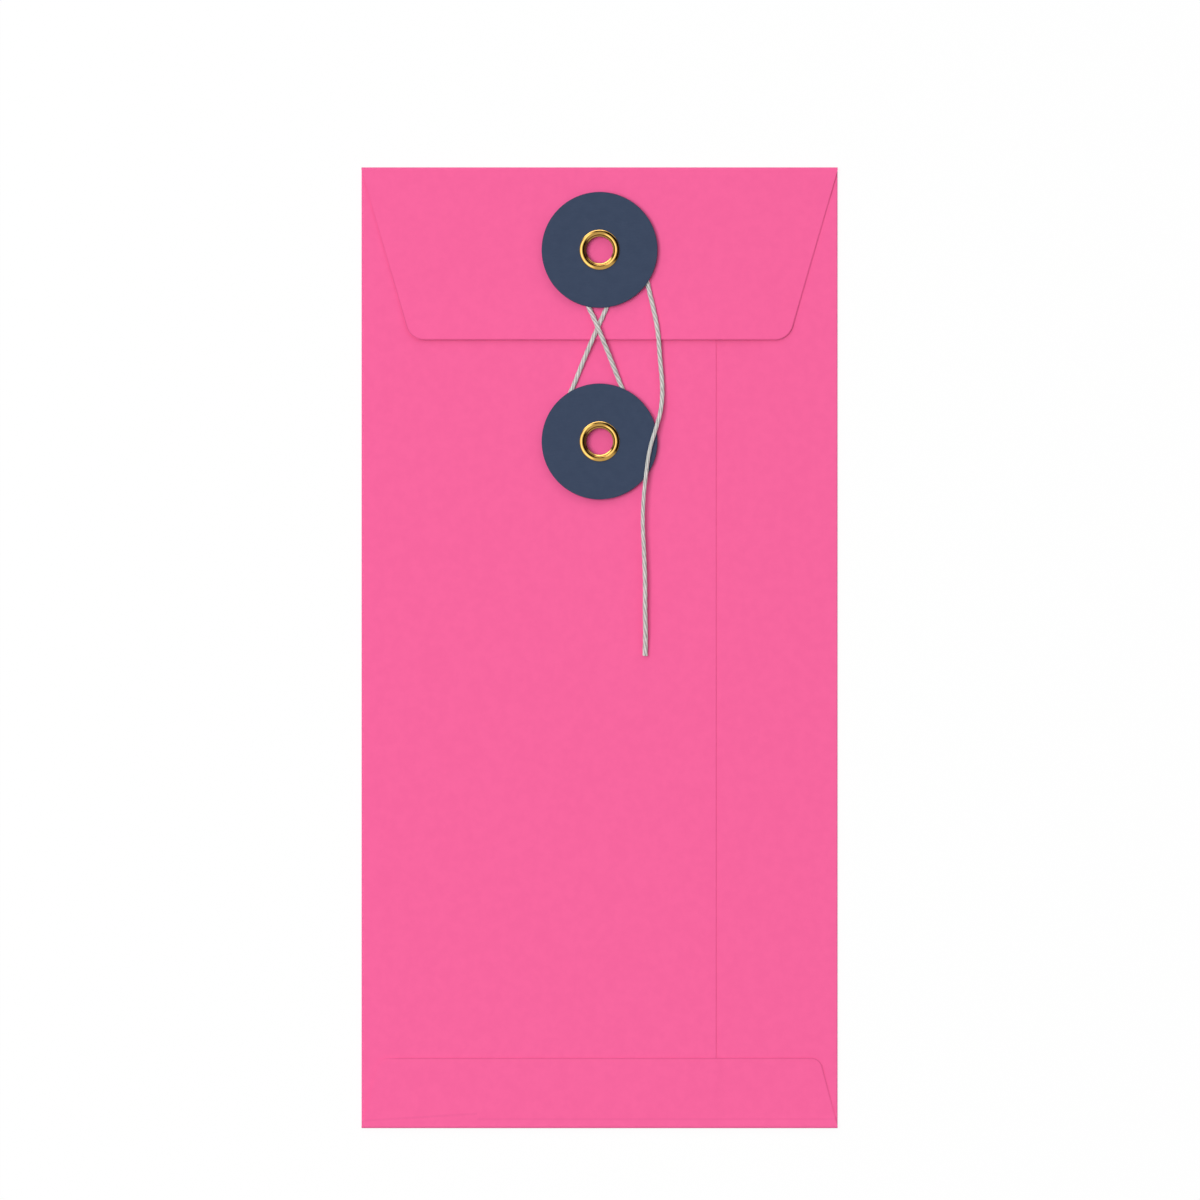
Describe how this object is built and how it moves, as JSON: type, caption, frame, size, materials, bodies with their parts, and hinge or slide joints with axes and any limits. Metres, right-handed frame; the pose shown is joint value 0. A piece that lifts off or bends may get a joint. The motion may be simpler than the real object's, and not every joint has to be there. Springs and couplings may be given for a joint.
{
  "type": "string tie envelope",
  "caption": "Slim paper pocket envelope with a tapered flap on its short side, closed by a string wound round card discs that turn on brass eyelets.",
  "frame": {"origin": "middle of the plain face that the envelope lies on", "axes": "+X across the envelope, +Y along it towards the closing flap, +Z out of the flap side"},
  "size_m": [0.109, 0.22, 0.0037],
  "materials": {
    "pink_paper": "matte, uncoated",
    "navy_card": "matte",
    "brass": "polished",
    "string": "twisted cotton",
    "glue": "dried film"
  },
  "bodies": {
    "pocket": {"address_panel": "pink_paper", "left_fold": "pink_paper", "right_fold": "pink_paper", "right_side_panel": "pink_paper", "left_side_panel": "pink_paper", "bottom_fold": "pink_paper", "bottom_flap": "pink_paper", "crease_pocket_half": "pink_paper", "side_seam_glue": "glue", "bottom_glue_left": "glue", "bottom_glue_right": "glue", "lower_eyelet": "brass", "string_first_strand": "string", "string_lower_turn": "string", "string_second_strand": "string", "string_upper_turn": "string", "string_tail": "string"},
    "flap": {"crease_flap_half": "pink_paper", "closing_flap": "pink_paper", "upper_eyelet": "brass", "string_tie": "string"},
    "upper_disc": {"upper_disc": "navy_card"},
    "lower_disc": {"lower_disc": "navy_card"}
  },
  "joints": [
    {"name": "flap_hinge", "type": "hinge", "parent": "pocket", "child": "flap", "pos_m": [0, 0.11, 0.0006], "axis": [-1, 0, 0], "range_deg": [0, 180], "deforming": ["string_first_strand", "string_second_strand", "string_upper_turn", "string_tail"]},
    {"name": "upper_disc_spin", "type": "hinge", "parent": "flap", "child": "upper_disc", "pos_m": [0, 0.091, 0.00233], "axis": [0, 0, 1], "continuous": true},
    {"name": "lower_disc_spin", "type": "hinge", "parent": "pocket", "child": "lower_disc", "pos_m": [0, 0.0472, 0.00195], "axis": [0, 0, 1], "continuous": true}
  ]
}
